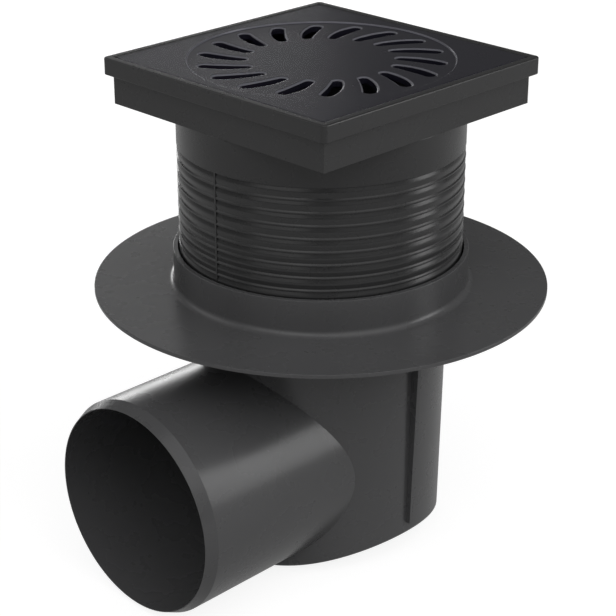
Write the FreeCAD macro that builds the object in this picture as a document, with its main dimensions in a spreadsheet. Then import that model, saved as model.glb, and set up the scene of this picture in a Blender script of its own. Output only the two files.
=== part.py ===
import FreeCAD, Part
import math
import os
import Sketcher

# Every size is in millimetres. Z is up, the drain's axis is x = y = 0 and the outlet points to -Y.
size = {
    # Square head
    "rim_side": 150.0,
    "rim_top": 254.6,
    "rim_height": 8.6,
    "box_side": 142.6,
    "box_bottom": 231.1,
    "head_wall": 3.0,
    "corner_round": 2.5,
    "rim_edge_round": 0.8,
    # Ribbed neck
    "neck_radius": 71.4,
    "neck_wall": 3.0,
    "neck_lift": 7.0,
    "crevice_top": 213.3,
    "crevice_height": 0.5,
    "crevice_depth": 0.8,
    "shoulder_height": 2.0,
    "shoulder_sink": 0.1,
    "band_sink": 0.5,
    "bead_rise": 0.7,
    "bead_height": 0.7,
    "rib_pitch": 6.5,
    "rib_count": 12,
    "seam_half_width": 0.5,
    # Grate
    "lip_width": 4.0,
    "grate_gap": 0.5,
    "grate_sink": 0.2,
    "grate_depth": 6.0,
    "grate_plate": 4.0,
    "grate_skirt": 3.0,
    "field_radius": 65.2,
    "field_sink": 0.7,
    "slot_count": 18,
    "slot_inner_reach": 38.2,
    "slot_inner_turn": 5.3,
    "slot_inner_radius": 2.2,
    "slot_outer_reach": 57.3,
    "slot_outer_turn": 3.0,
    "slot_outer_radius": 2.9,
    "slot_bow_radius": 33.0,
    "slot_dip_radius": 120.0,
    "slot_edge_round": 0.7,
    "grate_rib_width": 2.0,
    "grate_rib_reach": 31.0,
    "grate_rib_step": 31.5,
    "plate_corner_round": 2.0,
    "plate_edge_round": 0.4,
    # Flange, collar and socket
    "flange_radius": 114.7,
    "flange_top": 139.9,
    "flange_thickness": 2.0,
    "collar_radius": 74.5,
    "collar_top": 158.2,
    "collar_foot_round": 1.0,
    "neck_clearance": 0.4,
    "ledge_height": 121.0,
    "ledge_thickness": 3.0,
    "socket_corner_round": 4.0,
    # Sump
    "sump_top_radius": 64.5,
    "sump_bottom_radius": 62.6,
    "sump_wall": 3.0,
    "trough_radius": 144.0,
    "side_rib_thickness": 2.2,
    "side_rib_root": 1.5,
    "side_rib_bottom": 21.0,
    "side_rib_bottom_reach": 65.3,
    "side_rib_top_reach": 68.6,
    # Outlet
    "outlet_radius": 55.0,
    "outlet_wall": 3.0,
    "outlet_reach": 129.3,
    "outlet_height": 55.4,
    "outlet_root_reach": 66.0,
    "outlet_root_draft": 0.2,
    "outlet_chamfer_depth": 2.6,
    "outlet_chamfer_length": 5.7,
    # Ring between neck and socket
    "ring_height": 4.0,
    "ring_room": 0.3,
    "ring_groove_depth": 1.5,
    "ring_lift": 6.0,
    "ring_corner": 0.4,
    "ring_fit": 0.1,
    # Trap insert
    "insert_radius": 66.0,
    "insert_seal_height": 2.0,
    "insert_flange": 2.5,
    "insert_wall": 2.0,
    "insert_clearance": 0.6,
    "funnel_depth": 23.0,
    "funnel_skirt": 4.0,
    "tube_radius": 30.0,
    "tube_bottom": 44.0,
    "cup_radius": 44.0,
    "cup_floor": 34.0,
    "cup_rim": 94.0,
    "cup_rim_round": 0.6,
    "cup_foot_round": 3.0,
    "fin_thickness": 2.0,
    "fin_top": 80.0,
    "fin_count": 4,
}

doc = FreeCAD.newDocument("gully_trap")
sheet = doc.addObject("Spreadsheet::Sheet", "Sizes")
for row, name in enumerate(size, start=1):
    sheet.set("A" + str(row), name)
    sheet.set("B" + str(row), str(size[name]))
    sheet.setAlias("B" + str(row), name)
doc.recompute()


# Number that a sum of named sizes comes to, such as "flange_top - flange_thickness"
def worth(words):
    total = 0.0
    sign = 1.0
    for word in words.split():
        if word == "-":
            sign = -1.0
        elif word == "+":
            sign = 1.0
        elif word in size:
            total += sign * size[word]
            sign = 1.0
        else:
            total += sign * float(word)
            sign = 1.0
    return total


# The same sum, written with the cells of the sheet
def cells(words):
    return " ".join("Sizes." + word if word in size else word for word in words.split())


def plane(body, role):
    for feature in body.Origin.OriginFeatures:
        if feature.Role == role:
            return feature
    raise ValueError(role)


def newBody(name):
    body = doc.addObject("PartDesign::Body", name)
    body.Label = name
    return body


def newSketch(body, name, role, lift=None):
    sketch = body.newObject("Sketcher::SketchObject", name)
    sketch.AttachmentSupport = [(plane(body, role), "")]
    sketch.MapMode = "FlatFace"
    if lift:
        sketch.setExpression("AttachmentOffset.Base.z", cells(lift))
    return sketch


# Ties one coordinate of a point in a sketch to a sum of sizes
def tie(sketch, kind, geometry, point, words):
    if worth(words) == 0.0 and words == "0":
        axis = -2 if kind == "DistanceX" else -1
        sketch.addConstraint(Sketcher.Constraint("PointOnObject", geometry, point, axis))
        return
    index = sketch.addConstraint(Sketcher.Constraint(kind, geometry, point, worth(words)))
    sketch.setExpression("Constraints[" + str(index) + "]", cells(words))


# Closed outline of straight lines, each corner given as two sums of sizes
def drawCorners(sketch, corners):
    first = sketch.GeometryCount
    count = len(corners)
    spots = [FreeCAD.Vector(worth(across), worth(up), 0) for across, up in corners]
    for index in range(count):
        sketch.addGeometry(Part.LineSegment(spots[index], spots[(index + 1) % count]), False)
    for index in range(count):
        following = first + (index + 1) % count
        sketch.addConstraint(Sketcher.Constraint("Coincident", first + index, 2, following, 1))
    for index, (across, up) in enumerate(corners):
        tie(sketch, "DistanceX", first + index, 1, across)
        tie(sketch, "DistanceY", first + index, 1, up)


def drawCircle(sketch, radius, across="0", up="0"):
    index = sketch.GeometryCount
    centre = FreeCAD.Vector(worth(across), worth(up), 0)
    circle = Part.Circle(centre, FreeCAD.Vector(0, 0, 1), worth(radius))
    sketch.addGeometry(circle, False)
    if across == "0" and up == "0":
        sketch.addConstraint(Sketcher.Constraint("Coincident", index, 3, -1, 1))
    else:
        tie(sketch, "DistanceX", index, 3, across)
        tie(sketch, "DistanceY", index, 3, up)
    bound = sketch.addConstraint(Sketcher.Constraint("Radius", index, worth(radius)))
    sketch.setExpression("Constraints[" + str(bound) + "]", cells(radius))


# Square round the middle of the sketch
def drawSquare(sketch, side):
    half = worth(side) / 2
    spots = [(-half, -half), (half, -half), (half, half), (-half, half)]
    for index in range(4):
        begin = FreeCAD.Vector(spots[index][0], spots[index][1], 0)
        end = FreeCAD.Vector(spots[(index + 1) % 4][0], spots[(index + 1) % 4][1], 0)
        sketch.addGeometry(Part.LineSegment(begin, end), False)
    for index in range(4):
        sketch.addConstraint(Sketcher.Constraint("Coincident", index, 2, (index + 1) % 4, 1))
    for index, kind in enumerate(["Horizontal", "Vertical", "Horizontal", "Vertical"]):
        sketch.addConstraint(Sketcher.Constraint(kind, index))
    sketch.addConstraint(Sketcher.Constraint("Symmetric", 0, 1, 1, 2, -1, 1))
    for kind, begin, end in [("DistanceX", (0, 1), (0, 2)), ("DistanceY", (1, 1), (1, 2))]:
        bound = sketch.addConstraint(Sketcher.Constraint(kind, *begin, *end, worth(side)))
        sketch.setExpression("Constraints[" + str(bound) + "]", cells(side))


def extrude(body, kind, name, sketch, length, reverse=False, middle=False):
    feature = body.newObject("PartDesign::" + kind, name)
    feature.Profile = sketch
    feature.Reversed = reverse
    feature.Midplane = middle
    feature.setExpression("Length", cells(length))
    return feature


def revolve(body, kind, name, sketch, axis="V_Axis"):
    feature = body.newObject("PartDesign::" + kind, name)
    feature.Profile = sketch
    feature.ReferenceAxis = (sketch, [axis])
    feature.Angle = 360
    return feature


# Rounds the edges of the last feature that a test picks
def roundEdges(body, name, radius, picked):
    doc.recompute()
    base = body.Tip
    names = []
    for index, edge in enumerate(base.Shape.Edges, start=1):
        if picked(edge):
            names.append("Edge" + str(index))
    if not names:
        raise ValueError("no edge for " + name)
    feature = body.newObject("PartDesign::Fillet", name)
    feature.Base = (base, names)
    feature.setExpression("Radius", cells(radius))
    return feature


def near(value, words):
    return abs(value - worth(words)) < 0.02


# True for a level circle or arc of this radius at this height
def ringAt(edge, radius, height):
    if not isinstance(edge.Curve, Part.Circle):
        return False
    box = edge.BoundBox
    return box.ZLength < 0.02 and near(box.ZMin, height) and near(edge.Curve.Radius, radius)


def flatAt(edge, height):
    return edge.BoundBox.ZLength < 0.02 and near(edge.BoundBox.ZMin, height)


# Socket, flange and collar, before they are hollowed
outside = newBody("socket_outside")
wall = newSketch(outside, "socket_section", "XZ_Plane")
drawCorners(wall, [
    ("0", "ledge_height - ledge_thickness"),
    ("collar_radius", "ledge_height - ledge_thickness"),
    ("collar_radius", "flange_top - flange_thickness"),
    ("flange_radius", "flange_top - flange_thickness"),
    ("flange_radius", "flange_top"),
    ("collar_radius", "flange_top"),
    ("collar_radius", "collar_top"),
    ("0", "collar_top"),
])
revolve(outside, "Revolution", "socket_turned", wall)
roundEdges(outside, "collar_foot_rounding", "collar_foot_round",
           lambda edge: ringAt(edge, "collar_radius", "flange_top"))
roundEdges(outside, "socket_rounding", "socket_corner_round",
           lambda edge: ringAt(edge, "collar_radius", "ledge_height - ledge_thickness"))


# Round bar lying along Y, its far end at the given reach towards -Y
def newBar(name, radius, length, lift):
    bar = doc.addObject("Part::Cylinder", name)
    bar.Placement = FreeCAD.Placement(FreeCAD.Vector(0, 0, 0), FreeCAD.Rotation(FreeCAD.Vector(1, 0, 0), 90))
    bar.setExpression("Radius", cells(radius))
    bar.setExpression("Height", cells(length))
    bar.setExpression("Placement.Base.z", cells(lift))
    return bar


def join(kind, name, shapes):
    feature = doc.addObject("Part::" + kind, name)
    feature.Shapes = shapes
    return feature


# Sump: a tapered wall whose underside is part of a large cylinder that lies along the outlet
sump_wall = doc.addObject("Part::Cone", "sump_outside")
sump_wall.setExpression("Radius1", cells("sump_bottom_radius"))
sump_wall.setExpression("Radius2", cells("sump_top_radius"))
sump_wall.setExpression("Height", cells("ledge_height"))
trough = newBar("trough", "trough_radius", "flange_radius + flange_radius", "trough_radius")
trough.setExpression("Placement.Base.y", "Sizes.flange_radius")
sump = join("MultiCommon", "sump", [sump_wall, trough])

# Side ribs
side_ribs = newBody("side_ribs")
side_rib = newSketch(side_ribs, "side_rib_section", "XZ_Plane")
drawCorners(side_rib, [
    ("sump_bottom_radius - side_rib_root", "side_rib_bottom"),
    ("side_rib_bottom_reach", "side_rib_bottom"),
    ("side_rib_top_reach", "ledge_height - ledge_thickness"),
    ("side_rib_top_reach", "ledge_height - side_rib_root"),
    ("sump_bottom_radius - side_rib_root", "ledge_height - side_rib_root"),
])
extrude(side_ribs, "Pad", "side_rib", side_rib, "side_rib_thickness", middle=True)
far_ribs = doc.addObject("Part::Mirroring", "far_ribs")
far_ribs.Source = side_ribs
far_ribs.Normal = FreeCAD.Vector(1, 0, 0)

# Outlet pipe with its chamfered end
root = doc.addObject("Part::Cone", "pipe_root")
root.Placement = FreeCAD.Placement(FreeCAD.Vector(0, 0, 0), FreeCAD.Rotation(FreeCAD.Vector(1, 0, 0), 90))
root.setExpression("Radius1", cells("outlet_radius + outlet_root_draft"))
root.setExpression("Radius2", cells("outlet_radius"))
root.setExpression("Height", cells("outlet_root_reach"))
root.setExpression("Placement.Base.z", cells("outlet_height"))
pipe = newBar("pipe", "outlet_radius", "outlet_reach - outlet_chamfer_length - outlet_root_reach", "outlet_height")
pipe.setExpression("Placement.Base.y", "0 - Sizes.outlet_root_reach")
nose = doc.addObject("Part::Cone", "nose")
nose.Placement = pipe.Placement
nose.setExpression("Radius1", cells("outlet_radius"))
nose.setExpression("Radius2", cells("outlet_radius - outlet_chamfer_depth"))
nose.setExpression("Height", cells("outlet_chamfer_length"))
nose.setExpression("Placement.Base.y", "Sizes.outlet_chamfer_length - Sizes.outlet_reach")
nose.setExpression("Placement.Base.z", cells("outlet_height"))

# Hollow of the drain body
inside = newBody("body_inside")
hollow = newSketch(inside, "inside_section", "XZ_Plane")
drawCorners(hollow, [
    ("0", "0"),
    ("sump_bottom_radius - sump_wall", "0"),
    ("sump_top_radius - sump_wall", "ledge_height"),
    ("neck_radius + neck_clearance", "ledge_height"),
    ("neck_radius + neck_clearance", "collar_top + 1"),
    ("0", "collar_top + 1"),
])
revolve(inside, "Revolution", "inside_turned", hollow)
floor = newBar("floor", "trough_radius - sump_wall", "flange_radius + flange_radius",
               "trough_radius")
floor.setExpression("Placement.Base.y", "Sizes.flange_radius")
well = join("MultiCommon", "well", [inside, floor])
bore = newBar("outlet_bore", "outlet_radius - outlet_wall", "outlet_reach + 1", "outlet_height")

drain_body = doc.addObject("Part::Cut", "drain_body")
drain_body.Base = join("MultiFuse", "solid_body", [sump, outside, side_ribs, far_ribs, root, pipe, nose])
drain_body.Tool = join("MultiFuse", "water_space", [well, bore])
drain_body.Label = "drain_body"

# Head and neck
neck = newBody("neck")
rim = newSketch(neck, "rim_square", "XY_Plane", "rim_top - rim_height")
drawSquare(rim, "rim_side")
extrude(neck, "Pad", "rim", rim, "rim_height")
box = newSketch(neck, "box_square", "XY_Plane", "box_bottom")
drawSquare(box, "box_side")
extrude(neck, "Pad", "box", box, "rim_top - rim_height - box_bottom")
roundEdges(neck, "corner_rounding", "corner_round",
           lambda edge: edge.BoundBox.ZLength > 5 and edge.BoundBox.XLength < 0.01)
stem = newSketch(neck, "stem_circle", "XY_Plane", "ledge_height + neck_lift")
drawCircle(stem, "neck_radius")
extrude(neck, "Pad", "stem", stem, "box_bottom - ledge_height - neck_lift")
roundEdges(neck, "rim_rounding", "rim_edge_round", lambda edge: flatAt(edge, "rim_top"))
crevice = newSketch(neck, "crevice_section", "XZ_Plane")
drawCorners(crevice, [
    ("neck_radius + crevice_depth", "crevice_top"),
    ("neck_radius - crevice_depth", "crevice_top"),
    ("neck_radius - crevice_depth", "crevice_top - crevice_height"),
    ("neck_radius - shoulder_sink", "crevice_top - crevice_height - shoulder_height"),
    ("neck_radius - band_sink", "crevice_top - rib_pitch + bead_height + bead_rise"),
    ("neck_radius", "crevice_top - rib_pitch + bead_height"),
    ("neck_radius + crevice_depth", "crevice_top - rib_pitch + bead_height"),
])
groove = revolve(neck, "Groove", "crevice", crevice)
ribs = neck.newObject("PartDesign::LinearPattern", "ribs")
ribs.Originals = [groove]
ribs.Direction = (crevice, ["V_Axis"])
ribs.Reversed = True
ribs.setExpression("Length", "Sizes.rib_pitch * (Sizes.rib_count - 1)")
ribs.setExpression("Occurrences", "Sizes.rib_count")
neck.Tip = ribs
doc.recompute()
seam_bottom = "ledge_height + neck_lift + ring_lift + ring_height + ring_lift"
seam = newSketch(neck, "seam_section", "XY_Plane", seam_bottom)
drawCorners(seam, [
    ("- seam_half_width", "- neck_radius"),
    ("seam_half_width", "- neck_radius"),
    ("seam_half_width", "neck_radius"),
    ("- seam_half_width", "neck_radius"),
])
extrude(neck, "Pad", "seam", seam, "box_bottom - " + seam_bottom.replace("+", "-"))
seat = newSketch(neck, "seat_square", "XY_Plane", "rim_top")
drawSquare(seat, "rim_side - lip_width - lip_width")
extrude(neck, "Pocket", "grate_seat", seat, "grate_depth")
room = newSketch(neck, "room_square", "XY_Plane", "rim_top - grate_depth")
drawSquare(room, "box_side - head_wall - head_wall")
extrude(neck, "Pocket", "head_room", room, "rim_top - grate_depth - box_bottom - head_wall")
throat = newSketch(neck, "throat_circle", "XY_Plane", "rim_top")
drawCircle(throat, "neck_radius - neck_wall")
extrude(neck, "Pocket", "throat", throat, "rim_top - ledge_height - neck_lift")
ring_groove = newSketch(neck, "ring_groove_section", "XZ_Plane")
drawCorners(ring_groove, [
    ("neck_radius - ring_groove_depth", "ledge_height + neck_lift + ring_lift"),
    ("neck_radius + 1", "ledge_height + neck_lift + ring_lift"),
    ("neck_radius + 1", "ledge_height + neck_lift + ring_lift + ring_height"),
    ("neck_radius - ring_groove_depth", "ledge_height + neck_lift + ring_lift + ring_height"),
])
revolve(neck, "Groove", "ring_groove", ring_groove)

# Ring between neck and socket
neck_seal = newBody("neck_seal")
ring = newSketch(neck_seal, "ring_section", "XZ_Plane")
ring_low = "ledge_height + neck_lift + ring_lift + ring_room"
ring_high = "ledge_height + neck_lift + ring_lift + ring_height - ring_room"
ring_inner = "neck_radius - ring_groove_depth + ring_fit"
ring_outer = "neck_radius + neck_clearance - ring_fit"
drawCorners(ring, [
    (ring_inner, ring_low),
    (ring_outer + " - ring_corner", ring_low),
    (ring_outer, ring_low + " + ring_corner"),
    (ring_outer, ring_high + " - ring_corner"),
    (ring_outer + " - ring_corner", ring_high),
    (ring_inner, ring_high),
])
revolve(neck_seal, "Revolution", "ring_turned", ring)

# Grate
grate = newBody("grate")
grate_top = "rim_top - grate_sink"
plate = newSketch(grate, "plate_square", "XY_Plane", "rim_top - grate_depth")
plate_side = "rim_side - lip_width - lip_width - grate_gap - grate_gap"
drawSquare(plate, plate_side)
extrude(grate, "Pad", "plate", plate, "grate_depth - grate_sink")
roundEdges(grate, "plate_corner_rounding", "plate_corner_round",
           lambda edge: edge.BoundBox.ZLength > 2)
roundEdges(grate, "plate_edge_rounding", "plate_edge_round", lambda edge: flatAt(edge, grate_top))
under = newSketch(grate, "under_square", "XY_Plane", "rim_top - grate_sink - grate_plate")
drawSquare(under, plate_side + " - grate_skirt - grate_skirt")
extrude(grate, "Pocket", "under_hollow", under, "grate_depth")
field = newSketch(grate, "field_circle", "XY_Plane", grate_top)
drawCircle(field, "field_radius")
extrude(grate, "Pocket", "field", field, "field_sink")
for name, reach in [("inner_rib", "grate_rib_reach"), ("outer_rib", "grate_rib_reach + grate_rib_step")]:
    rib_ring = newSketch(grate, name + "_circles", "XY_Plane", "rim_top - grate_depth")
    drawCircle(rib_ring, reach)
    drawCircle(rib_ring, reach + " + grate_rib_width")
    extrude(grate, "Pad", name, rib_ring, "grate_depth - grate_sink - field_sink - 1")


def polar(reach, degrees):
    turn = math.radians(degrees)
    return FreeCAD.Vector(reach * math.cos(turn), reach * math.sin(turn), 0)


# Centre at these two distances from two points, on the right of the way from the first to the second
def meet(first, second, first_reach, second_reach):
    span = (second - first).Length
    ahead = (second - first).normalize()
    part = (first_reach ** 2 - second_reach ** 2 + span ** 2) / (2 * span)
    aside = math.sqrt(first_reach ** 2 - part ** 2)
    return first + ahead * part + FreeCAD.Vector(ahead.y, -ahead.x, 0) * aside


def arcFrom(centre, radius, begin, end):
    middle = (begin - centre).normalize() + (end - centre).normalize()
    return Part.Arc(begin, centre + middle.normalize() * radius, end)


# Swirling slot: two round ends, a bowed leading side and a slightly hollow trailing side
slot = newSketch(grate, "slot_outline", "XY_Plane", grate_top)
inner = polar(worth("slot_inner_reach"), worth("slot_inner_turn"))
outer = polar(worth("slot_outer_reach"), -worth("slot_outer_turn"))
inner_radius = worth("slot_inner_radius")
outer_radius = worth("slot_outer_radius")
bow = worth("slot_bow_radius")
dip = worth("slot_dip_radius")
bow_centre = meet(inner, outer, bow - inner_radius, bow - outer_radius)
dip_centre = meet(inner, outer, dip + inner_radius, dip + outer_radius)
bow_begin = inner + (inner - bow_centre).normalize() * inner_radius
bow_end = outer + (outer - bow_centre).normalize() * outer_radius
dip_begin = outer + (dip_centre - outer).normalize() * outer_radius
dip_end = inner + (dip_centre - inner).normalize() * inner_radius
slot.addGeometry(arcFrom(bow_centre, bow, bow_begin, bow_end), False)
slot.addGeometry(Part.Arc(bow_end, outer + (outer - inner).normalize() * outer_radius, dip_begin), False)
slot.addGeometry(arcFrom(dip_centre, dip, dip_begin, dip_end), False)
slot.addGeometry(Part.Arc(dip_end, inner + (inner - outer).normalize() * inner_radius, bow_begin), False)
for index in range(4):
    slot.addConstraint(Sketcher.Constraint("Block", index))
cut = extrude(grate, "Pocket", "slot", slot, "grate_depth + grate_depth")
slots = grate.newObject("PartDesign::PolarPattern", "slots")
slots.Originals = [cut]
slots.Axis = (slot, ["N_Axis"])
slots.Angle = 360
slots.setExpression("Occurrences", "Sizes.slot_count")
grate.Tip = slots
field_face = "rim_top - grate_sink - field_sink"
roundEdges(grate, "slot_edge_rounding", "slot_edge_round",
           lambda edge: flatAt(edge, field_face) and edge.BoundBox.DiagonalLength < worth("slot_outer_reach"))

# Seal under the trap insert
trap_seal = newBody("trap_seal")
gasket = newSketch(trap_seal, "gasket_circles", "XY_Plane", "ledge_height")
drawCircle(gasket, "sump_top_radius - sump_wall + insert_clearance")
drawCircle(gasket, "insert_radius")
extrude(trap_seal, "Pad", "gasket", gasket, "insert_seal_height")

# Funnel and dip tube
trap_tube = newBody("trap_tube")
funnel = newSketch(trap_tube, "funnel_section", "XZ_Plane")
insert_low = "ledge_height + insert_seal_height"
insert_high = insert_low + " + insert_flange"
spigot = "sump_top_radius - sump_wall - insert_clearance"
drawCorners(funnel, [
    ("insert_radius", insert_low),
    ("insert_radius", insert_high),
    (spigot + " - insert_wall", insert_high),
    (spigot + " - insert_wall", insert_high + " - insert_flange - funnel_skirt"),
    ("tube_radius - insert_wall", insert_high + " - funnel_depth"),
    ("tube_radius - insert_wall", "tube_bottom"),
    ("tube_radius", "tube_bottom"),
    ("tube_radius", insert_high + " - funnel_depth - insert_wall"),
    (spigot, insert_high + " - insert_flange - funnel_skirt - insert_wall"),
    (spigot, insert_low),
])
revolve(trap_tube, "Revolution", "funnel_turned", funnel)

# Cup of the water seal
trap_cup = newBody("trap_cup")
cup = newSketch(trap_cup, "cup_section", "XZ_Plane")
drawCorners(cup, [
    ("0", "cup_floor - insert_wall"),
    ("cup_radius", "cup_floor - insert_wall"),
    ("cup_radius", "cup_rim"),
    ("cup_radius - insert_wall", "cup_rim"),
    ("cup_radius - insert_wall", "cup_floor"),
    ("0", "cup_floor"),
])
revolve(trap_cup, "Revolution", "cup_turned", cup)
roundEdges(trap_cup, "cup_foot_rounding", "cup_foot_round",
           lambda edge: ringAt(edge, "cup_radius", "cup_floor - insert_wall"))
fin = newSketch(trap_cup, "fin_section", "XZ_Plane")
drawCorners(fin, [
    ("tube_radius", "cup_floor - cup_rim_round"),
    ("cup_radius - cup_rim_round", "cup_floor - cup_rim_round"),
    ("cup_radius - cup_rim_round", "fin_top"),
    ("tube_radius", "fin_top"),
])
fin_pad = extrude(trap_cup, "Pad", "fin", fin, "fin_thickness", middle=True)
fins = trap_cup.newObject("PartDesign::PolarPattern", "fins")
fins.Originals = [fin_pad]
fins.Axis = (cup, ["V_Axis"])
fins.Angle = 360
fins.setExpression("Occurrences", "Sizes.fin_count")
trap_cup.Tip = fins

doc.recompute()
for thing in doc.Objects:
    bad = [word for word in thing.State if word in ("Invalid", "Error")]
    if bad:
        raise ValueError(thing.Name + " " + " ".join(bad))

os.makedirs("parts", exist_ok=True)
for node in [drain_body, neck, neck_seal, grate, trap_seal, trap_tube, trap_cup]:
    if node.Shape.isNull() or not node.Shape.isValid() or len(node.Shape.Solids) != 1:
        raise ValueError(node.Label + " has no sound solid")
    node.Shape.exportStep("parts/" + node.Label + ".step")
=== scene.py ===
import math
import bmesh
import bpy
from mathutils import Matrix, Vector
from mathutils.geometry import delaunay_2d_cdt


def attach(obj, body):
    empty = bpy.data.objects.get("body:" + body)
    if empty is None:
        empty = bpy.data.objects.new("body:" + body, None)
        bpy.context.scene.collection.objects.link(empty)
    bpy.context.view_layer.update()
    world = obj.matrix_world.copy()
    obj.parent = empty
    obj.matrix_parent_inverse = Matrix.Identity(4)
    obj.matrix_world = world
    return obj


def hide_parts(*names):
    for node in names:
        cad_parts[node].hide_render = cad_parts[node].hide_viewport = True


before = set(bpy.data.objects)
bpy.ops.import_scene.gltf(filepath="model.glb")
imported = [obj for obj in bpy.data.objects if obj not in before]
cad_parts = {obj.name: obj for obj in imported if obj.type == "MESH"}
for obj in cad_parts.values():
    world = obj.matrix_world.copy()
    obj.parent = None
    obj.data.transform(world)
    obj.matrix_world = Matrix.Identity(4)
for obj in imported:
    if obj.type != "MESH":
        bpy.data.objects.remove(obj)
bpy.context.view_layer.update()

print("frame loaded:", ", ".join(sorted(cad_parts)))

# Lengths are millimetres until a mesh is made, and turns are the facets of a full turn
unit = 0.001
turns = {"fine": 256, "medium": 160, "coarse": 96}
nearAxis = 0.001
smallestCorner = 0.05
roundingShare = 0.49  # of a side, at most, that the rounding of one corner takes
mergeDistance = 1e-7  # in metres
fillTolerance = 1e-6
evenWeight = 60
boxFaces = [(0, 1, 2, 3), (4, 5, 6, 7), (0, 1, 5, 4), (1, 2, 6, 5), (2, 3, 7, 6), (3, 0, 4, 7)]


# Mesh helpers

def makeObject(name, vertices, faces, sharpDegrees=32):
    mesh = bpy.data.meshes.new(name)
    mesh.from_pydata([(x * unit, y * unit, z * unit) for x, y, z in vertices], [], faces)
    mesh.validate()
    mesh.update()
    piece = bpy.data.objects.new(name, mesh)
    bpy.context.scene.collection.objects.link(piece)
    tidyNormals(piece, sharpDegrees)
    return piece


def tidyNormals(piece, sharpDegrees):
    shell = bmesh.new()
    shell.from_mesh(piece.data)
    bmesh.ops.remove_doubles(shell, verts=shell.verts, dist=mergeDistance)
    bmesh.ops.recalc_face_normals(shell, faces=shell.faces)
    shell.to_mesh(piece.data)
    shell.free()
    for face in piece.data.polygons:
        face.use_smooth = True
    piece.data.set_sharp_from_angle(angle=math.radians(sharpDegrees))


def weighNormals(piece):
    # Large faces lead the shading, so flats stay flat beside small roundings
    shade = piece.modifiers.new("even normals", "WEIGHTED_NORMAL")
    shade.keep_sharp = True
    shade.weight = evenWeight


def turned(x, y, turn):
    # This point after a turn round the origin
    return x * math.cos(turn) - y * math.sin(turn), x * math.sin(turn) + y * math.cos(turn)


def roundCorners(points, steps, closed=True):
    # Line with arcs at its corners; points give across, up and the radius of that corner
    line = []
    count = len(points)
    for index, (x, z, radius) in enumerate(points):
        if radius == 0 or (not closed and index in (0, count - 1)):
            line.append((x, z))
            continue
        here = Vector((x, z))
        before = Vector(points[index - 1][:2]) - here
        after = Vector(points[(index + 1) % count][:2]) - here
        half = before.angle(after) / 2
        back = radius / math.tan(half)
        back = min(back, before.length * roundingShare, after.length * roundingShare)
        size = back * math.tan(half)
        begin = here + before.normalized() * back
        end = here + after.normalized() * back
        centre = here + (before.normalized() + after.normalized()).normalized() * (size / math.sin(half))
        first = begin - centre
        last = end - centre
        sweep = first.angle(last)
        side = 1 if first.x * last.y - first.y * last.x > 0 else -1
        for step in range(steps + 1):
            across, up = turned(first.x, first.y, side * sweep * step / steps)
            line.append((centre.x + across, centre.y + up))
    return line


def bridge(rings, closedAcross=True):
    # Faces between rings of the same length, given as lists of vertex numbers
    faces = []
    pairs = list(zip(rings, rings[1:]))
    if closedAcross:
        pairs.append((rings[-1], rings[0]))
    for low, high in pairs:
        count = len(low)
        for index in range(count):
            following = (index + 1) % count
            faces.append((low[index], low[following], high[following], high[index]))
    return faces


def addRing(vertices, rings, points):
    # Adds a ring of points and notes their numbers
    rings.append(list(range(len(vertices), len(vertices) + len(points))))
    vertices.extend(points)


def addBand(vertices, faces, levels):
    # Adds rings of points with the faces between each ring and the next
    rings = []
    for level in levels:
        addRing(vertices, rings, level)
    faces.extend(bridge(rings, closedAcross=False))


def addShell(vertices, faces, moreVertices, moreFaces):
    # Adds another closed form to the same mesh
    start = len(vertices)
    vertices.extend(moreVertices)
    faces.extend(tuple(number + start for number in face) for face in moreFaces)


def circle(radius, z, count):
    spread = [2 * math.pi * index / count for index in range(count)]
    return [(radius * math.cos(turn), radius * math.sin(turn), z) for turn in spread]


def lathe(line, count, closed=True):
    # Turned solid round the upright axis; an open line is capped at its two ends
    vertices = []
    rings = []
    for radius, z in line:
        addRing(vertices, rings, circle(radius, z, count))
    faces = bridge(rings, closed)
    if not closed:
        faces.append(tuple(reversed(rings[0])))
        faces.append(tuple(rings[-1]))
    return vertices, faces


def turnAll(spots, turn, z):
    # Points of a flat outline, turned round the upright axis and set at this height
    return [turned(spot.x, spot.y, turn) + (z,) for spot in spots]


def flat(level):
    # The same points without their height
    return [(x, y) for x, y, z in level]


def squareRing(half, z, corner, cornerSteps=8, sideSteps=12):
    # Square with rounded corners: one corner and one side, set out four times
    corner = max(corner, smallestCorner)
    start = half - corner
    spots = []
    for step in range(cornerSteps + 1):
        turn = math.pi / 2 * step / cornerSteps
        spots.append(Vector((start, start)) + Vector((math.cos(turn), math.sin(turn))) * corner)
    for step in range(1, sideSteps):
        spots.append(Vector((start, half)) + Vector((-2 * start * (step / sideSteps), 0)))
    ring = []
    for quarter in range(4):
        ring += turnAll(spots, quarter * math.pi / 2, z)
    return ring


def combine(base, tool, how):
    # Cuts or joins two solids and keeps the result in the first
    step = base.modifiers.new(how, "BOOLEAN")
    step.operation = how
    step.solver = "EXACT"
    step.object = tool
    bpy.context.view_layer.update()
    solved = base.evaluated_get(bpy.context.evaluated_depsgraph_get())
    mesh = bpy.data.meshes.new_from_object(solved)
    base.modifiers.clear()
    old = base.data
    base.data = mesh
    bpy.data.meshes.remove(old)
    gone = tool.data
    bpy.data.objects.remove(tool)
    bpy.data.meshes.remove(gone)


def dropAbove(piece, height):
    # Clears what a cut leaves over a piece's own top
    shell = bmesh.new()
    shell.from_mesh(piece.data)
    left = [vertex for vertex in shell.verts if vertex.co.z > height * unit]
    bmesh.ops.delete(shell, geom=left, context="VERTS")
    shell.to_mesh(piece.data)
    shell.free()


# Materials: dark moulded plastic with a fine grain, and plain rubber. Sizes here are metres.

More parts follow.
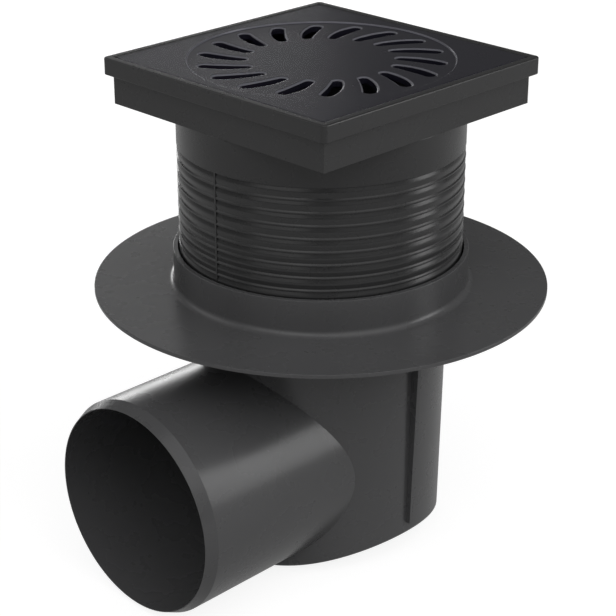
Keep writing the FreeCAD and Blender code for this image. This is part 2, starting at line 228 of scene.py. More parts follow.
commonLook = {
    "roughness": 0.27,
    "sheenDown": 0.02,
    "sheenUp": 0.03,
    "mottle": 0.07,
    "specular": 0.5,
    "tint": (1.0, 1.0, 1.0),
    "cloudScale": 22.0,
    "cloudDetail": 3.0,
    "flowScale": 60.0,
    "flowDetail": 4.0,
    "grainSize": 0.0011,
    "grainDepth": 0.000012,
    "grainDetail": 2.0,
}
ownLooks = {  # what each material has in place of the common values
    "body plastic": {"colour": (0.080, 0.080, 0.082)},
    "neck plastic": {"colour": (0.0265, 0.0265, 0.0270)},
    "grate plastic": {"colour": (0.0105, 0.0100, 0.0165), "roughness": 0.26, "tint": (0.92, 0.91, 1.0)},
    # painted highlight: a lighter colour for the grate's rounded edges
    "painted highlight edge plastic": {"colour": (0.125, 0.125, 0.142), "roughness": 0.26,
                              "tint": (0.92, 0.91, 1.0)},
    "trap plastic": {"colour": (0.05, 0.05, 0.052), "roughness": 0.42},
    "seal rubber": {"colour": (0.014, 0.014, 0.014), "roughness": 0.6, "mottle": 0.2, "specular": 0.3,
                    "grainSize": 0.0006, "grainDepth": 0.00002},
}
nodeLooks = {  # the record's slot and the material here; the neck is moulded a shade darker than the body
    "drain_body": ("body_plastic", "body plastic"),
    "neck": ("body_plastic", "neck plastic"),
    "grate": ("grate_plastic", "grate plastic"),
    "neck_seal": ("seal_rubber", "seal rubber"),
    "trap_seal": ("seal_rubber", "seal rubber"),
    "trap_tube": ("trap_plastic", "trap plastic"),
    "trap_cup": ("trap_plastic", "trap plastic"),
}


def addNoise(tree, place, scale, detail):
    noise = tree.nodes.new("ShaderNodeTexNoise")
    noise.inputs["Scale"].default_value = scale
    noise.inputs["Detail"].default_value = detail
    tree.links.new(place.outputs["Object"], noise.inputs["Vector"])
    return noise.outputs["Fac"]


def makePlastic(name):
    look = {**commonLook, **ownLooks[name]}
    material = bpy.data.materials.new(name)
    material.use_nodes = True
    tree = material.node_tree
    shader = tree.nodes["Principled BSDF"]
    shader.inputs["Specular IOR Level"].default_value = look["specular"]
    shader.inputs["Specular Tint"].default_value = look["tint"] + (1.0,)
    place = tree.nodes.new("ShaderNodeTexCoord")
    # Slow change of shade through the moulding
    cloud = addNoise(tree, place, look["cloudScale"], look["cloudDetail"])
    tone = tree.nodes.new("ShaderNodeMix")
    tone.data_type = "RGBA"
    for end, share in (("A", 1 - look["mottle"]), ("B", 1 + look["mottle"])):
        tone.inputs[end].default_value = tuple(part * share for part in look["colour"]) + (1.0,)
    tree.links.new(cloud, tone.inputs["Factor"])
    tree.links.new(tone.outputs["Result"], shader.inputs["Base Color"])
    # Flow marks change the sheen a little
    flow = addNoise(tree, place, look["flowScale"], look["flowDetail"])
    sheen = tree.nodes.new("ShaderNodeMapRange")
    sheen.inputs["To Min"].default_value = look["roughness"] - look["sheenDown"]
    sheen.inputs["To Max"].default_value = look["roughness"] + look["sheenUp"]
    tree.links.new(flow, sheen.inputs["Value"])
    tree.links.new(sheen.outputs["Result"], shader.inputs["Roughness"])
    # Fine grain of the mould's surface
    grain = addNoise(tree, place, 1.0 / look["grainSize"], look["grainDetail"])
    bump = tree.nodes.new("ShaderNodeBump")
    bump.inputs["Strength"].default_value = 1.0
    bump.inputs["Distance"].default_value = look["grainDepth"]
    tree.links.new(grain, bump.inputs["Height"])
    tree.links.new(bump.outputs["Normal"], shader.inputs["Normal"])
    return material


materials = {name: makePlastic(name) for name in ownLooks}
for node, (slotName, lookName) in nodeLooks.items():
    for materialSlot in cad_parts[node].material_slots:
        materialSlot.material = materials[lookName]


def finishPiece(piece, body, node):
    slotName, lookName = nodeLooks[node]
    piece.data.materials.clear()
    piece.data.materials.append(materials[lookName])
    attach(piece, body)
    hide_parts(node)
    print("made", piece.name, "with", len(piece.data.polygons), "faces")


# Drain body

bodyShape = {
    "sumpFootRadius": 62.6,
    "sumpTopRadius": 64.5,
    "wall": 3.0,
    "troughRadius": 144.0,
    "troughSteps": 6,
    "wallSteps": 4,
    "taperRounds": 4,
    "footRound": 3.0,
    "wellRound": 1.5,
    "ledgeTop": 121.0,
    "ledgeBottom": 118.0,
    "ledgeRound": 0.5,
    "socketRound": 4.0,
    "collarRadius": 74.5,
    "collarTop": 158.2,
    "boreRadius": 71.8,
    "mouthWidth": 0.4,
    "mouthDepth": 1.0,
    "mouthRise": 0.01,
    "flangeRadius": 114.7,
    "flangeTop": 139.9,
    "flangeBottom": 137.9,
    "flangeUnderRound": 1.2,
    "collarFootRound": 3.2,
    "edgeRound": 0.3,
    "outletRadius": 55.0,
    "outletHeight": 55.4,
    "outletRoot": 66.0,
    "outletDraft": 0.2,
    "outletWall": 3.0,
    "outletEnd": 129.3,
    "chamferDepth": 2.6,
    "chamferLength": 5.7,
    "chamferRound": 0.8,
    "ribThickness": 2.2,
    "ribRoot": 60.5,
    "ribFoot": 21.0,
    "ribFootReach": 65.3,
    "ribTopReach": 68.6,
    "sumpOverlap": 1.5,
    "ribOverlap": 1.0,
    "wellPast": 1.0,
    "cutPast": 2.0,
    "topSlack": 0.005,
    "sharpDegrees": 28,
}


def sumpLine(across, inset, top, rounding):
    # Outline from the trough up the wall; across is 1 square to the trough and 0 along it
    shape = bodyShape
    slope = (shape["sumpTopRadius"] - shape["sumpFootRadius"]) / shape["ledgeTop"]
    foot = shape["sumpFootRadius"] - inset
    centre = shape["troughRadius"]
    reach = centre - inset

    def troughHeight(radius):
        return centre - math.sqrt(reach ** 2 - (radius * across) ** 2)

    radius = foot
    for attempt in range(shape["taperRounds"]):
        # The wall tapers, so each round brings its foot nearer
        edge = troughHeight(radius)
        radius = foot + slope * edge
    line = []
    for step in range(1, shape["troughSteps"]):
        inner = radius * step / shape["troughSteps"]
        line.append((inner, troughHeight(inner), 0))
    line.append((radius, edge, rounding))
    for step in range(1, shape["wallSteps"] + 1):
        z = edge + (top - edge) * step / shape["wallSteps"]
        line.append((foot + slope * z, z, 0))
    return line


def sumpSolid(name, inset, top, rounding):
    # A tapered sump whose underside follows the trough, inset for the hollow
    count = turns["fine"]
    columns = []
    for index in range(count):
        turn = 2 * math.pi * index / count
        line = roundCorners(sumpLine(math.cos(turn), inset, top, rounding), steps=6, closed=False)
        columns.append([(radius * math.cos(turn), radius * math.sin(turn), z) for radius, z in line])
    vertices = []
    rings = []
    for level in zip(*columns):
        addRing(vertices, rings, level)
    faces = bridge(rings, closedAcross=False)
    middle = len(vertices)
    vertices.append((0, 0, inset))
    for index in range(count):
        faces.append((middle, rings[0][(index + 1) % count], rings[0][index]))
    faces.append(tuple(rings[-1]))
    return makeObject(name, vertices, faces)


def barSolid(name, line, height):
    # Turned solid whose axis runs along -Y at this height; line gives radius and distance out
    vertices, faces = lathe(line, turns["fine"], closed=False)
    return makeObject(name, [(x, -z, y + height) for x, y, z in vertices], faces)


def upperSolid():
    # Foot of the socket, flange and collar
    shape = bodyShape
    return makeObject("socket", *lathe(roundCorners([
        (nearAxis, shape["ledgeBottom"], 0),
        (shape["collarRadius"], shape["ledgeBottom"], shape["socketRound"]),
        (shape["collarRadius"], shape["flangeBottom"], shape["flangeUnderRound"]),
        (shape["flangeRadius"], shape["flangeBottom"], shape["edgeRound"]),
        (shape["flangeRadius"], shape["flangeTop"], shape["edgeRound"]),
        (shape["collarRadius"], shape["flangeTop"], shape["collarFootRound"]),
        (shape["collarRadius"], shape["collarTop"], shape["edgeRound"]),
        (nearAxis, shape["collarTop"], 0),
    ], steps=8, closed=False), turns["fine"], closed=False))


def pipeSolid():
    shape = bodyShape
    return barSolid("pipe", roundCorners([
        (shape["outletRadius"] + shape["outletDraft"], 0, 0),
        (shape["outletRadius"], shape["outletRoot"], 0),
        (shape["outletRadius"], shape["outletEnd"] - shape["chamferLength"], shape["chamferRound"]),
        (shape["outletRadius"] - shape["chamferDepth"], shape["outletEnd"], 0),
    ], steps=4, closed=False), shape["outletHeight"])


def ribSolid(side):
    shape = bodyShape
    half = shape["ribThickness"] / 2
    top = shape["ledgeBottom"] + shape["ribOverlap"]
    outline = [(shape["ribRoot"], shape["ribFoot"]), (shape["ribFootReach"], shape["ribFoot"]),
               (shape["ribTopReach"], shape["ledgeBottom"]), (shape["ribTopReach"], top),
               (shape["ribRoot"], top)]
    vertices = [(x * side, y, z) for y in (-half, half) for x, z in outline]
    faces = [tuple(range(5)), tuple(range(9, 4, -1))] + bridge([range(5), range(5, 10)], closedAcross=False)
    return makeObject("side rib", vertices, faces)


def socketBore():
    # Room for the neck, a little wider at its mouth
    shape = bodyShape
    mouth = shape["boreRadius"] + shape["mouthWidth"]
    past = shape["collarTop"] + shape["cutPast"]
    return makeObject("socket bore", *lathe(roundCorners([
        (nearAxis, shape["ledgeTop"], 0),
        (shape["boreRadius"], shape["ledgeTop"], shape["ledgeRound"]),
        (shape["boreRadius"], shape["collarTop"] - shape["mouthDepth"], 0),
        (mouth, shape["collarTop"] + shape["mouthRise"], 0),
        (mouth, past, 0),
        (nearAxis, past, 0),
    ], steps=4, closed=False), turns["fine"], closed=False))


def outletBore():
    shape = bodyShape
    radius = shape["outletRadius"] - shape["outletWall"]
    return barSolid("outlet bore", [(radius, 0), (radius, shape["outletEnd"] + shape["cutPast"])],
                    shape["outletHeight"])


def makeBody():
    shape = bodyShape
    body = sumpSolid("drain_shell", 0, shape["ledgeBottom"] + shape["sumpOverlap"], shape["footRound"])
    combine(body, upperSolid(), "UNION")
    combine(body, pipeSolid(), "UNION")
    for side in (1, -1):
        combine(body, ribSolid(side), "UNION")
    well = sumpSolid("well", shape["wall"], shape["ledgeTop"] + shape["wellPast"], shape["wellRound"])
    combine(body, well, "DIFFERENCE")
    combine(body, socketBore(), "DIFFERENCE")
    dropAbove(body, shape["collarTop"] + shape["topSlack"])
    combine(body, outletBore(), "DIFFERENCE")
    tidyNormals(body, shape["sharpDegrees"])
    weighNormals(body)
    finishPiece(body, "drain", "drain_body")


makeBody()


# Head and neck

neckShape = {
    "rimHalf": 75.0,
    "rimTop": 254.6,
    "rimTopRound": 0.8,
    "rimBottom": 246.0,
    "rimUnderRound": 0.5,
    "boxHalf": 71.3,
    "boxTopRound": 0.4,
    "boxBottom": 231.1,
    "boxFootRound": 0.7,
    "seatHalf": 71.0,
    "seatTopRound": 0.5,
    "seatFloor": 248.6,
    "seatFloorRound": 0.2,
    "roomHalf": 68.3,
    "roomTopRound": 0.3,
    "roomFloor": 233.6,
    "cornerRound": 2.5,
    "neckRadius": 71.4,
    "throatRadius": 68.4,
    "throatOverlap": 0.2,
    "neckBottom": 128.0,
    "stemOverlap": 1.0,
    "stemInset": 0.2,
    "stemEase": 0.3,
    "creviceTop": 213.3,
    "pitch": 6.5,
    "crevices": 12,
    "creviceDepth": 0.8,
    "creviceHeight": 0.5,
    "creviceRound": 0.1,
    "shoulderHeight": 2.0,
    "shoulderSink": 0.1,
    "shoulderRound": 3.0,
    "bandSink": 0.5,
    "bandRound": 0.3,
    "beadRise": 0.7,
    "beadHeight": 0.7,
    "beadRound": 0.25,
    "grooveLow": 134.0,
    "grooveHigh": 138.0,
    "grooveDepth": 1.5,
    "grooveLipRound": 0.2,
    "footChamfer": 1.0,
    "footChamferHeight": 1.2,
    "footRound": 0.3,
    "footInnerRound": 0.2,
    "seamHalf": 0.5,
    "seamRoot": 1.2,
    "seamInset": 0.02,
    "seamLow": 144.0,
    "sharpDegrees": 28,
}


def squareShell(line, corner, nominal):
    # Ring-shaped solid round the square head; line gives half side, height and kind
    vertices = []
    rings = []
    for half, z, kind in line:
        if kind == "round":
            directions = [math.atan2(y, x) for x, y, height in squareRing(nominal, z, corner)]
            ring = [(half * math.cos(turn), half * math.sin(turn), z) for turn in directions]
        else:
            ring = squareRing(half, z, corner - (nominal - half))
        addRing(vertices, rings, ring)
    return vertices, bridge(rings)


def headShell():
    shape = neckShape
    line = roundCorners([
        (shape["boxHalf"], shape["boxBottom"], shape["boxFootRound"]),
        (shape["boxHalf"], shape["rimBottom"], shape["boxTopRound"]),
        (shape["rimHalf"], shape["rimBottom"], shape["rimUnderRound"]),
        (shape["rimHalf"], shape["rimTop"], shape["rimTopRound"]),
        (shape["seatHalf"], shape["rimTop"], shape["seatTopRound"]),
        (shape["seatHalf"], shape["seatFloor"], shape["seatFloorRound"]),
        (shape["roomHalf"], shape["seatFloor"], shape["roomTopRound"]),
        (shape["roomHalf"], shape["roomFloor"], 0),
    ], steps=4, closed=False)
    line = [(half, z, "square") for half, z in line]
    line.insert(0, (shape["throatRadius"], shape["boxBottom"], "round"))
    line.append((shape["throatRadius"] - shape["throatOverlap"], shape["roomFloor"], "round"))
    return squareShell(line, shape["cornerRound"], shape["rimHalf"])


def creviceLine(top):
    # One rib of the neck downward: crevice, shoulder, band and bead
    shape = neckShape
    radius = shape["neckRadius"]
    floor = radius - shape["creviceDepth"]
    low = top - shape["creviceHeight"]
    bead = top - shape["pitch"] + shape["beadHeight"]
    return [
        (radius, top, shape["beadRound"]),
        (floor, top, shape["creviceRound"]),
        (floor, low, shape["creviceRound"]),
        (radius - shape["shoulderSink"], low - shape["shoulderHeight"], shape["shoulderRound"]),
        (radius - shape["bandSink"], bead + shape["beadRise"], shape["bandRound"]),
        (radius, bead, shape["beadRound"]),
    ]


def stemShell():
    shape = neckShape
    radius = shape["neckRadius"]
    groove = radius - shape["grooveDepth"]
    line = [
        (shape["throatRadius"], shape["boxBottom"] + shape["stemOverlap"], 0),
        (radius - shape["stemInset"], shape["boxBottom"] + shape["stemOverlap"], 0),
        (radius - shape["stemInset"], shape["boxBottom"], 0),
        (radius, shape["boxBottom"] - shape["stemEase"], 0),
    ]
    for index in range(shape["crevices"]):
        line += creviceLine(shape["creviceTop"] - index * shape["pitch"])
    line += [
        (radius, shape["grooveHigh"], shape["grooveLipRound"]),
        (groove, shape["grooveHigh"], shape["creviceRound"]),
        (groove, shape["grooveLow"], shape["creviceRound"]),
        (radius, shape["grooveLow"], shape["grooveLipRound"]),
        (radius, shape["neckBottom"] + shape["footChamferHeight"], shape["footRound"]),
        (radius - shape["footChamfer"], shape["neckBottom"], shape["footRound"]),
        (shape["throatRadius"], shape["neckBottom"], shape["footInnerRound"]),
    ]
    return lathe(roundCorners(line, steps=4), turns["fine"])


def seamCorners(side):
    # Parting line of the mould: an upright strip that fills the crevices
    shape = neckShape
    half = shape["seamHalf"]
    root = side * (shape["neckRadius"] - shape["seamRoot"])
    face = side * (shape["neckRadius"] - shape["seamInset"])
    return [(x, y, z) for z in (shape["seamLow"], shape["boxBottom"])
            for x, y in ((-half, root), (half, root), (half, face), (-half, face))]


def makeNeck():
    vertices, faces = headShell()
    addShell(vertices, faces, *stemShell())
    for side in (1, -1):
        addShell(vertices, faces, seamCorners(side), boxFaces)
    neck = makeObject("ribbed_neck", vertices, faces, neckShape["sharpDegrees"])
    weighNormals(neck)
    finishPiece(neck, "head", "neck")


makeNeck()


# Grate

grateShape = {
    "half": 70.5,
    "top": 254.4,
    "bottom": 248.6,
    "underside": 250.4,
    "skirt": 3.0,
    "cornerRound": 2.0,
    "edgeRound": 0.4,
    "footRound": 0.2,
    "border": 3.0,
    "fieldRadius": 65.2,
    "fieldSink": 0.7,
    "fieldRound": 0.35,
    "fieldBend": 0.3,
    "fillSlack": 0.01,
    "slots": 18,
    "innerReach": 38.2,
    "innerTurn": 5.3,
    "innerRadius": 2.2,
    "innerSteps": 6,
    "outerReach": 57.3,
    "outerTurn": -3.0,
    "outerRadius": 2.9,
    "outerSteps": 7,
    "bowRadius": 33.0,
    "bowSteps": 20,
    "dipRadius": 120.0,
    "dipSteps": 16,
    "slotEase": 1.4,
    "slotRound": 0.8,
    "slotRoundSteps": 5,
    "ringReaches": (31.0, 62.5),
    "ringWidth": 2.0,
    "ringRound": 0.3,
    "ringOverlap": 0.5,
    # where the painted highlight goes on the grate's rounded edges
    "highlightReach": 66.0,
    "highlightSteepest": 0.3,
    "highlightFlattest": 0.985,
    "sharpDegrees": 35,
}


def polar(reach, degrees):
    # Point at this distance from the grate's middle, this far round
    turn = math.radians(degrees)
    return Vector((reach * math.cos(turn), reach * math.sin(turn)))


def arcPoints(centre, begin, end, steps):
    # Points of an arc, without its last one
    first = begin - centre
    last = end - centre
    sweep = math.atan2(first.x * last.y - first.y * last.x, first.dot(last))
    return [centre + Vector(turned(first.x, first.y, sweep * step / steps)) for step in range(steps)]


def slotOutline(grow):
    # Points round one slot, grown outward by this much: two bowed sides and two round ends
    shape = grateShape
    inner = polar(shape["innerReach"], shape["innerTurn"])
    outer = polar(shape["outerReach"], shape["outerTurn"])
    innerRadius = shape["innerRadius"] + grow
    outerRadius = shape["outerRadius"] + grow
    bow = shape["bowRadius"] + grow
    dip = shape["dipRadius"] - grow

    def meet(firstReach, secondReach):
        # Point at these two distances from the middles of the ends
        span = (outer - inner).length
        ahead = (outer - inner) / span
        part = (firstReach ** 2 - secondReach ** 2 + span ** 2) / (2 * span)
        aside = math.sqrt(firstReach ** 2 - part ** 2)
        return inner + ahead * part + Vector((ahead.y, -ahead.x)) * aside

    bowCentre = meet(bow - innerRadius, bow - outerRadius)
    dipCentre = meet(dip + innerRadius, dip + outerRadius)
    bowBegin = inner + (inner - bowCentre).normalized() * innerRadius
    bowEnd = outer + (outer - bowCentre).normalized() * outerRadius
    dipBegin = outer + (dipCentre - outer).normalized() * outerRadius
    dipEnd = inner + (dipCentre - inner).normalized() * innerRadius
    tip = outer + (outer - inner).normalized() * outerRadius
    heel = inner + (inner - outer).normalized() * innerRadius
    spots = arcPoints(bowCentre, bowBegin, bowEnd, shape["bowSteps"])
    spots += arcPoints(outer, bowEnd, tip, shape["outerSteps"])
    spots += arcPoints(outer, tip, dipBegin, shape["outerSteps"])
    spots += arcPoints(dipCentre, dipBegin, dipEnd, shape["dipSteps"])
    spots += arcPoints(inner, dipEnd, heel, shape["innerSteps"])
    spots += arcPoints(inner, heel, bowBegin, shape["innerSteps"])
    return spots


def fillFlat(vertices, faces, loops, z, wanted):
    # Flat area between closed loops, where wanted says which faces stay
    spots = []
    edges = []
    for loop in loops:
        start = len(spots)
        spots.extend(Vector((x, y)) for x, y in loop)
        edges.extend((start + index, start + (index + 1) % len(loop)) for index in range(len(loop)))
    filled = delaunay_2d_cdt(spots, edges, [], 0, fillTolerance)
    found = filled[0]
    start = len(vertices)
    vertices.extend((spot.x, spot.y, z) for spot in found)
    for face in filled[2]:
        middle = sum((found[number] for number in face), Vector((0, 0))) / len(face)
        if wanted(middle):
            faces.append(tuple(number + start for number in face))


def insideLoop(spot, loop):
    # Counts how often a line from the spot to the right crosses the loop
    inside = False
    for here, there in zip(loop, loop[1:] + loop[:1]):
        if (here[1] > spot.y) != (there[1] > spot.y):
            if spot.x < (there[0] - here[0]) * (spot.y - here[1]) / (there[1] - here[1]) + here[0]:
                inside = not inside
    return inside


def addSlots(vertices, faces, field):
    # Walls of all slots with rounded upper edges; gives their outlines above and below
    shape = grateShape
    steps = shape["slotRoundSteps"]
    topLoops = []
    lowLoops = []
    for number in range(shape["slots"]):
        turn = 2 * math.pi * number / shape["slots"]
        levels = []
        for step in range(steps + 1):
            lean = math.pi / 2 * step / steps
            grow = shape["slotEase"] * (1 - math.sin(lean))
            z = field - shape["slotRound"] * (1 - math.cos(lean))
            levels.append(turnAll(slotOutline(grow), turn, z))
        levels.append(turnAll(slotOutline(0), turn, shape["underside"]))
        addBand(vertices, faces, levels)
        topLoops.append(flat(levels[0]))
        lowLoops.append(flat(levels[-1]))
    return topLoops, lowLoops


def paintEdgeHighlights(grate, field):
    # Painted highlight: the rounded upper edges of the slots and the field's step get a lighter colour that
    # stands in for the light they catch
    shape = grateShape
    grate.data.materials.append(materials["painted highlight edge plastic"])
    for face in grate.data.polygons:
        high = face.center.z / unit > field - shape["slotRound"]
        within = face.center.xy.length / unit < shape["highlightReach"]
        if high and within and shape["highlightSteepest"] < face.normal.z < shape["highlightFlattest"]:
            face.material_index = 1


def makeGrate():
    shape = grateShape
    vertices = []
    faces = []
    field = shape["top"] - shape["fieldSink"]
    topLoops, lowLoops = addSlots(vertices, faces, field)

    # Rounded step round the sunk field
    ease = shape["fieldRound"]
    bend = shape["fieldBend"] * ease
    inField = shape["fieldRadius"] - ease
    step = [(inField, field), (shape["fieldRadius"] - bend, field + bend),
            (shape["fieldRadius"], shape["top"] - ease), (shape["fieldRadius"] + bend, shape["top"] - bend),
            (shape["fieldRadius"] + ease, shape["top"])]
    circles = [circle(radius, z, turns["fine"]) for radius, z in step]
    addBand(vertices, faces, circles)
    fillFlat(vertices, faces, [flat(circles[0])] + topLoops, field,
             lambda spot: spot.length < inField and not any(insideLoop(spot, loop) for loop in topLoops))

    # Square rim, the plate round the field and the underside
    rim = roundCorners([
        (shape["half"] - shape["border"], shape["top"], 0),
        (shape["half"], shape["top"], shape["edgeRound"]),
        (shape["half"], shape["bottom"], shape["footRound"]),
        (shape["half"] - shape["skirt"], shape["bottom"], shape["footRound"]),
        (shape["half"] - shape["skirt"], shape["underside"], 0),
    ], steps=4, closed=False)
    squares = [squareRing(half, z, shape["cornerRound"] - (shape["half"] - half)) for half, z in rim]
    addBand(vertices, faces, squares)
    above = flat(squares[0])
    below = flat(squares[-1])
    offField = shape["fieldRadius"] + ease - shape["fillSlack"]
    fillFlat(vertices, faces, [above, flat(circles[-1])], shape["top"],
             lambda spot: spot.length > offField and insideLoop(spot, above))
    fillFlat(vertices, faces, [below] + lowLoops, shape["underside"],
             lambda spot: insideLoop(spot, below) and not any(insideLoop(spot, loop) for loop in lowLoops))

    # Stiffening rings underneath
    root = shape["underside"] + shape["ringOverlap"]
    for reach in shape["ringReaches"]:
        ring = roundCorners([
            (reach, shape["bottom"], shape["ringRound"]),
            (reach + shape["ringWidth"], shape["bottom"], shape["ringRound"]),
            (reach + shape["ringWidth"], root, 0),
            (reach, root, 0),
        ], steps=3)
        addShell(vertices, faces, *lathe(ring, turns["coarse"]))
    grate = makeObject("slotted_grate", vertices, faces, shape["sharpDegrees"])
    weighNormals(grate)
    finishPiece(grate, "head", "grate")
    paintEdgeHighlights(grate, field)


makeGrate()


# Rings and trap insert

trapShape = {
    "insertRadius": 66.0,
    "gasketInner": 62.1,
    "gasketBottom": 121.0,
    "gasketTop": 123.0,
    "gasketRound": 0.4,
    "flangeTop": 125.5,
    "flangeFootRound": 0.4,
    "flangeRound": 0.6,
    "throatRound": 0.8,
    "spigotRadius": 60.9,
    "spigotRootRound": 0.2,
    "wall": 2.0,
    "skirtBottom": 119.0,
    "skirtRound": 3.0,
    "coneBottom": 102.5,
    "coneInnerRound": 6.0,
    "coneOuterRound": 4.0,
    "tubeRadius": 30.0,
    "tubeBottom": 44.0,
    "tubeRound": 0.4,
    "cupRadius": 44.0,
    "cupBottom": 32.0,
    "cupFootRound": 3.0,
    "cupFloor": 34.0,
    "cupFloorRound": 1.5,
    "cupRim": 94.0,
    "cupRimRound": 0.6,
    "finTop": 80.0,
    "finHalf": 1.0,
    "finOverlap": 0.6,
    "ringInner": 70.0,
    "ringInnerRound": 0.3,
    "ringOuter": 71.7,
    "ringOuterRound": 0.5,
    "ringLow": 134.3,
    "ringHigh": 137.7,
}


def makeRings():
    shape = trapShape
    ring = makeObject("socket_ring", *lathe(roundCorners([
        (shape["ringInner"], shape["ringLow"], shape["ringInnerRound"]),
        (shape["ringOuter"], shape["ringLow"], shape["ringOuterRound"]),
        (shape["ringOuter"], shape["ringHigh"], shape["ringOuterRound"]),
        (shape["ringInner"], shape["ringHigh"], shape["ringInnerRound"]),
    ], steps=4), turns["fine"]))
    finishPiece(ring, "slider", "neck_seal")
    gasket = makeObject("insert_ring", *lathe(roundCorners([
        (shape["gasketInner"], shape["gasketBottom"], shape["gasketRound"]),
        (shape["insertRadius"], shape["gasketBottom"], shape["gasketRound"]),
        (shape["insertRadius"], shape["gasketTop"], shape["gasketRound"]),
        (shape["gasketInner"], shape["gasketTop"], shape["gasketRound"]),
    ], steps=4), turns["medium"]))
    finishPiece(gasket, "drain", "trap_seal")


def makeFunnel():
    shape = trapShape
    wall = shape["wall"]
    tube = makeObject("dip_funnel", *lathe(roundCorners([
        (shape["insertRadius"], shape["gasketTop"], shape["flangeFootRound"]),
        (shape["insertRadius"], shape["flangeTop"], shape["flangeRound"]),
        (shape["spigotRadius"] - wall, shape["flangeTop"], shape["throatRound"]),
        (shape["spigotRadius"] - wall, shape["skirtBottom"], shape["skirtRound"]),
        (shape["tubeRadius"] - wall, shape["coneBottom"], shape["coneInnerRound"]),
        (shape["tubeRadius"] - wall, shape["tubeBottom"], shape["tubeRound"]),
        (shape["tubeRadius"], shape["tubeBottom"], shape["tubeRound"]),
        (shape["tubeRadius"], shape["coneBottom"] - wall, shape["coneOuterRound"]),
        (shape["spigotRadius"], shape["skirtBottom"] - wall, shape["coneOuterRound"]),
        (shape["spigotRadius"], shape["gasketTop"], shape["spigotRootRound"]),
    ], steps=6), turns["medium"]))
    finishPiece(tube, "drain", "trap_tube")


def finCorners(quarter):
    # Upright fin between the dip tube and the cup
    shape = trapShape
    half = shape["finHalf"]
    inner = shape["tubeRadius"]
    outer = shape["cupRadius"] - shape["finOverlap"]
    side = Vector((math.cos(quarter * math.pi / 2), math.sin(quarter * math.pi / 2)))
    across = Vector((-side.y, side.x))
    corners = []
    for z in (shape["cupFloor"] - shape["finOverlap"], shape["finTop"]):
        for reach, shift in ((inner, -half), (outer, -half), (outer, half), (inner, half)):
            spot = side * reach + across * shift
            corners.append((spot.x, spot.y, z))
    return corners


def makeCup():
    shape = trapShape
    inner = shape["cupRadius"] - shape["wall"]
    vertices, faces = lathe(roundCorners([
        (nearAxis, shape["cupBottom"], 0),
        (shape["cupRadius"], shape["cupBottom"], shape["cupFootRound"]),
        (shape["cupRadius"], shape["cupRim"], shape["cupRimRound"]),
        (inner, shape["cupRim"], shape["cupRimRound"]),
        (inner, shape["cupFloor"], shape["cupFloorRound"]),
        (nearAxis, shape["cupFloor"], 0),
    ], steps=5, closed=False), turns["medium"], closed=False)
    for quarter in range(4):
        addShell(vertices, faces, finCorners(quarter), boxFaces)
    finishPiece(makeObject("water_cup", vertices, faces), "drain", "trap_cup")


makeRings()
makeFunnel()
makeCup()


# Floor, white background and lights, in metres

studio = {
    "floorSize": 24.0,
    "floorColour": (0.3, 0.3, 0.3),
    "floorRoughness": 0.9,
    "floorGlow": 0.86,
    "floorMirrorShare": 0.33,
    "worldColour": (1.0, 1.0, 1.0),
    "worldFill": 0.112,
    "worldMirrorShare": 0.0,
    "aim": (0.0, 0.0, 0.13),
}
softboxes = {  # place, width, height, radiance, and whether the plastic mirrors it
    "high front softbox": ((1.30, -0.48, 2.1), 3.2, 2.6, 0.55, True),
    "high front fill": ((1.27, -0.52, 2.15), 3.2, 2.6, 0.77, False),
    "left front softbox": ((0.35, -1.75, 1.3), 1.6, 1.6, 0.85, True),
    "right front softbox": ((1.75, -0.35, 1.1), 1.6, 1.6, 0.30, True),
    "left softbox": ((-1.45, -1.05, 1.2), 1.4, 1.4, 0.61, True),
    "side softbox": ((1.13, 0.95, 0.61), 0.5, 0.9, 3.25, True),
    "low softbox": ((-1.13, 0.62, 0.19), 0.8, 0.28, 4.6, True),
    "back softbox": ((-1.34, 0.765, 0.8), 0.9, 0.5, 0.24, True),
}


def calculate(tree, operation, first, second):
    # Math node on two sockets, or on a socket and a number
    step = tree.nodes.new("ShaderNodeMath")
    step.operation = operation
    tree.links.new(first, step.inputs[0])
    if isinstance(second, float):
        step.inputs[1].default_value = second
    else:
        tree.links.new(second, step.inputs[1])
    return step.outputs[0]


def whiteShare(tree, mirrorShare):
    # Rays that see plain white: the camera's, those through glass and a share of mirrored ones
    path = tree.nodes.new("ShaderNodeLightPath")
    seen = path.outputs
    mirrored = calculate(tree, "MULTIPLY", seen["Is Glossy Ray"], mirrorShare)
    straight = calculate(tree, "MAXIMUM", seen["Is Camera Ray"], seen["Is Transmission Ray"])
    return calculate(tree, "MAXIMUM", straight, mirrored)


def makeFloor():
    bpy.ops.mesh.primitive_plane_add(size=studio["floorSize"], location=(0, 0, 0))
    floor = bpy.context.object
    floor.name = "floor"
    material = bpy.data.materials.new("floor")
    material.use_nodes = True
    tree = material.node_tree
    shader = tree.nodes["Principled BSDF"]
    shader.inputs["Base Color"].default_value = studio["floorColour"] + (1.0,)
    shader.inputs["Roughness"].default_value = studio["floorRoughness"]
    shader.inputs["Specular IOR Level"].default_value = 0.0
    shader.inputs["Emission Color"].default_value = studio["worldColour"] + (1.0,)
    seen = whiteShare(tree, studio["floorMirrorShare"])
    glow = calculate(tree, "MULTIPLY", seen, studio["floorGlow"])
    tree.links.new(glow, shader.inputs["Emission Strength"])
    floor.data.materials.append(material)


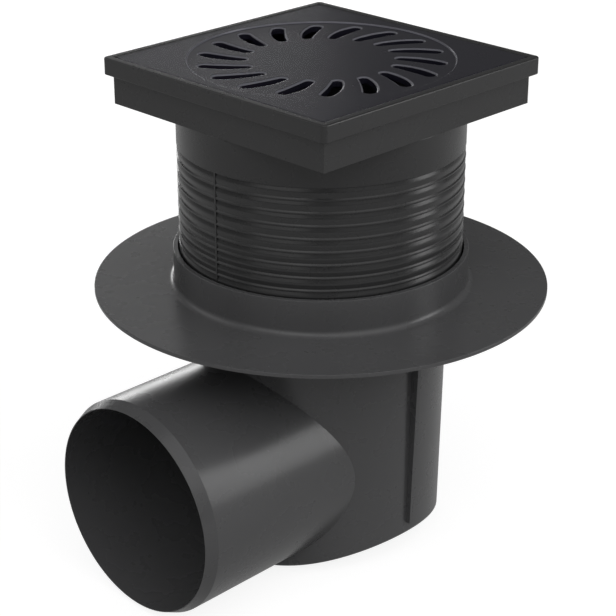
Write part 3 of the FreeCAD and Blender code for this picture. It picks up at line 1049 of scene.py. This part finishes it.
def makeWorld():
    world = bpy.data.worlds.new("studio")
    bpy.context.scene.world = world
    world.use_nodes = True
    tree = world.node_tree
    tree.nodes.clear()
    output = tree.nodes.new("ShaderNodeOutputWorld")
    mix = tree.nodes.new("ShaderNodeMixShader")
    tree.links.new(whiteShare(tree, studio["worldMirrorShare"]), mix.inputs[0])
    for place, strength in ((1, studio["worldFill"]), (2, 1.0)):
        backdrop = tree.nodes.new("ShaderNodeBackground")
        backdrop.inputs["Color"].default_value = studio["worldColour"] + (1.0,)
        backdrop.inputs["Strength"].default_value = strength
        tree.links.new(backdrop.outputs[0], mix.inputs[place])
    tree.links.new(mix.outputs[0], output.inputs["Surface"])


def makeSoftbox(name, place, width, height, radiance, mirrored):
    data = bpy.data.lights.new(name, "AREA")
    data.shape = "RECTANGLE"
    data.size = width
    data.size_y = height
    data.energy = radiance * math.pi * width * height
    lamp = bpy.data.objects.new(name, data)
    lamp.location = place
    lamp.visible_camera = False
    lamp.visible_glossy = mirrored
    lamp.rotation_euler = (Vector(studio["aim"]) - Vector(place)).to_track_quat("-Z", "Y").to_euler()
    bpy.context.scene.collection.objects.link(lamp)


makeFloor()
makeWorld()
for name, box in softboxes.items():
    makeSoftbox(name, *box)
print("studio ready")


# Camera at the photo's view, in metres

cameraView = {
    "place": (0.577574, -0.591415, 0.494390),
    "right": (0.709931, 0.704271, -0.000106),
    "up": (-0.289614, 0.292079, 0.911490),
    "back": (0.641967, -0.647064, 0.411323),
    "lens": 103.09,
    "sensor": 36.0,
    "nearest": 0.01,
    "farthest": 20.0,
}


def makeCamera():
    data = bpy.data.cameras.new("camera")
    data.lens = cameraView["lens"]
    data.sensor_width = cameraView["sensor"]
    data.clip_start = cameraView["nearest"]
    data.clip_end = cameraView["farthest"]
    camera = bpy.data.objects.new("camera", data)
    bpy.context.scene.collection.objects.link(camera)
    facing = Matrix([cameraView[key] for key in ("right", "up", "back")]).transposed()
    camera.matrix_world = Matrix.Translation(Vector(cameraView["place"])) @ facing.to_4x4()
    bpy.context.scene.camera = camera
    print("camera ready")


makeCamera()

bpy.context.scene.view_settings.view_transform = "Standard"
